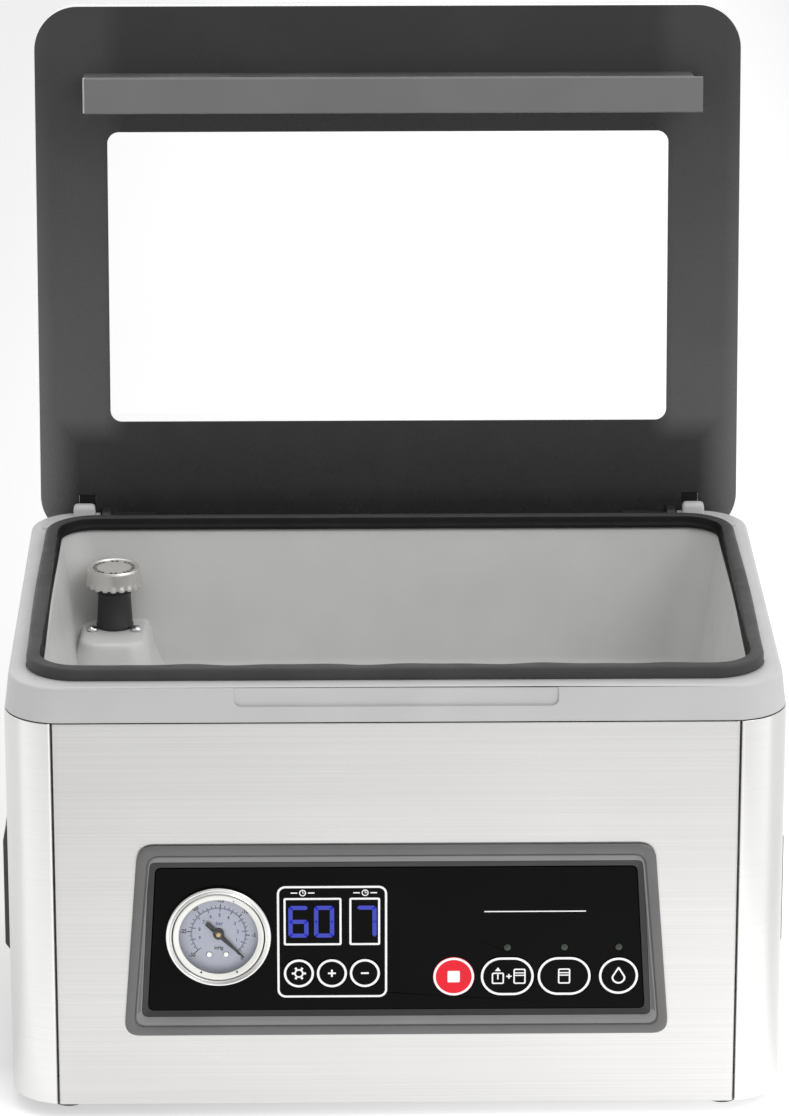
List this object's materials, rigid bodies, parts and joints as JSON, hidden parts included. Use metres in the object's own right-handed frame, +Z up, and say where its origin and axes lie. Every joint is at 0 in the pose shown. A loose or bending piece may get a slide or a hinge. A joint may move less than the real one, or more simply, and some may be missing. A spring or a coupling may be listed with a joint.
{
  "type": "vacuum chamber sealer",
  "caption": "Tabletop vacuum chamber sealer with an open hinged clear lid, a deep chamber with a lifting seal bar, a suction port, and a front control panel with a gauge and keys.",
  "frame": {"origin": "on the floor under the middle of the whole object's box, with the lid open", "axes": "+X to the object's right seen from the front, +Y to the back, +Z up; the front face looks towards -Y"},
  "size_m": [0.393, 0.3398, 0.4894],
  "materials": {
    "brushed_steel": "fine horizontal brushing",
    "polished_steel": "bright satin polish",
    "black_sheet": "black satin powder coat",
    "light_grey_plastic": "fine matt moulded",
    "dark_grey_plastic": "satin moulded",
    "black_rubber": "matt moulded rubber",
    "gloss_black": "high gloss black panel with white print",
    "gloss_red": "gloss red key with white print",
    "chrome": "bright chrome",
    "aluminium": "satin aluminium",
    "dial_face": "pale printed dial",
    "clear_acrylic": "clear cast acrylic, polished edges",
    "clear_lens": "clear lens",
    "mask_grey": "dark grey satin print",
    "grey_silicone": "grey silicone",
    "circuit_green": "solder mask green",
    "brass": "plain brass",
    "laminated_iron": "varnished laminations",
    "blue_display": "dark display with lit blue digits"
  },
  "bodies": {
    "case": {"base_plate": "black_sheet", "foot_front_left": "black_rubber", "foot_front_right": "black_rubber", "foot_rear_left": "black_rubber", "foot_rear_right": "black_rubber", "front_panel": "brushed_steel", "rear_panel": "brushed_steel", "side_panel_left": "polished_steel", "side_panel_right": "polished_steel", "top_rim": "light_grey_plastic", "chamber_tub": "light_grey_plastic", "chamber_gasket": "black_rubber", "suction_stem": "black_rubber", "suction_screw_left": "chrome", "suction_screw_right": "chrome", "lift_cylinder_left": "aluminium", "lift_cylinder_right": "aluminium", "hinge_pin_left": "chrome", "hinge_pin_right": "chrome", "control_bezel": "dark_grey_plastic", "control_glass": "gloss_black", "display_module": "blue_display", "control_board": "circuit_green", "gauge_case": "black_sheet", "gauge_movement": "brass", "gauge_dial": "dial_face", "gauge_lens": "clear_lens", "gauge_ring": "chrome", "side_grip_left": "dark_grey_plastic", "side_grip_right": "dark_grey_plastic", "mains_inlet": "black_sheet", "switch_housing": "black_sheet", "vacuum_pump": "aluminium", "pump_motor": "black_sheet", "transformer": "laminated_iron", "power_board": "circuit_green", "valve_block": "aluminium", "vacuum_hose": "black_rubber", "gauge_hose": "black_rubber"},
    "lid": {"lid_plate": "clear_acrylic", "lid_mask": "mask_grey", "press_holder": "aluminium", "press_strip": "grey_silicone", "hinge_bracket_left": "black_sheet", "hinge_bracket_right": "black_sheet"},
    "seal_bar_carriage": {"seal_bar": "aluminium", "heating_wire": "chrome", "lift_piston_left": "chrome", "lift_piston_right": "chrome"},
    "suction_cap": {"suction_cap": "aluminium"},
    "needle": {"gauge_needle": "black_sheet"},
    "rocker": {"power_rocker": "gloss_black"},
    "fan": {"fan_wheel": "dark_grey_plastic"},
    "key_set": {"key_set": "gloss_black"},
    "key_plus": {"key_plus": "gloss_black"},
    "key_minus": {"key_minus": "gloss_black"},
    "key_cancel": {"key_cancel": "gloss_red"},
    "key_vacuum_seal": {"key_vacuum_seal": "gloss_black"},
    "key_seal": {"key_seal": "gloss_black"},
    "key_marinate": {"key_marinate": "gloss_black"}
  },
  "joints": [
    {"name": "lid_hinge", "type": "hinge", "parent": "case", "child": "lid", "pos_m": [0, 0.10772, 0.222], "axis": [1, 0, 0], "range_deg": [0, 97]},
    {"name": "seal_bar_lift", "type": "slide", "parent": "case", "child": "seal_bar_carriage", "axis": [0, 0, 1], "range_m": [0, 0.0075]},
    {"name": "suction_cap_pull", "type": "slide", "parent": "case", "child": "suction_cap", "axis": [0, 0, 1], "range_m": [0, 0.01]},
    {"name": "gauge_needle_turn", "type": "hinge", "parent": "case", "child": "needle", "pos_m": [-0.0867, -0.16678, 0.0973], "axis": [0, -1, 0], "range_deg": [0, 270], "stiffness_Nm_per_rad": 0.00002},
    {"name": "power_rocker_tip", "type": "hinge", "parent": "case", "child": "rocker", "pos_m": [-0.08, 0.11071, 0.04], "axis": [0, 0, 1], "range_deg": [0, 12]},
    {"name": "fan_spin", "type": "hinge", "parent": "case", "child": "fan", "pos_m": [0, 0.01422, 0.058], "axis": [1, 0, 0], "continuous": true},
    {"name": "key_set_press", "type": "slide", "parent": "case", "child": "key_set", "axis": [0, 1, 0], "range_m": [0, 0.0005], "stiffness_N_per_m": 600},
    {"name": "key_plus_press", "type": "slide", "parent": "case", "child": "key_plus", "axis": [0, 1, 0], "range_m": [0, 0.0005], "stiffness_N_per_m": 600},
    {"name": "key_minus_press", "type": "slide", "parent": "case", "child": "key_minus", "axis": [0, 1, 0], "range_m": [0, 0.0005], "stiffness_N_per_m": 600},
    {"name": "key_cancel_press", "type": "slide", "parent": "case", "child": "key_cancel", "axis": [0, 1, 0], "range_m": [0, 0.0005], "stiffness_N_per_m": 600},
    {"name": "key_vacuum_seal_press", "type": "slide", "parent": "case", "child": "key_vacuum_seal", "axis": [0, 1, 0], "range_m": [0, 0.0005], "stiffness_N_per_m": 600},
    {"name": "key_seal_press", "type": "slide", "parent": "case", "child": "key_seal", "axis": [0, 1, 0], "range_m": [0, 0.0005], "stiffness_N_per_m": 600},
    {"name": "key_marinate_press", "type": "slide", "parent": "case", "child": "key_marinate", "axis": [0, 1, 0], "range_m": [0, 0.0005], "stiffness_N_per_m": 600}
  ]
}
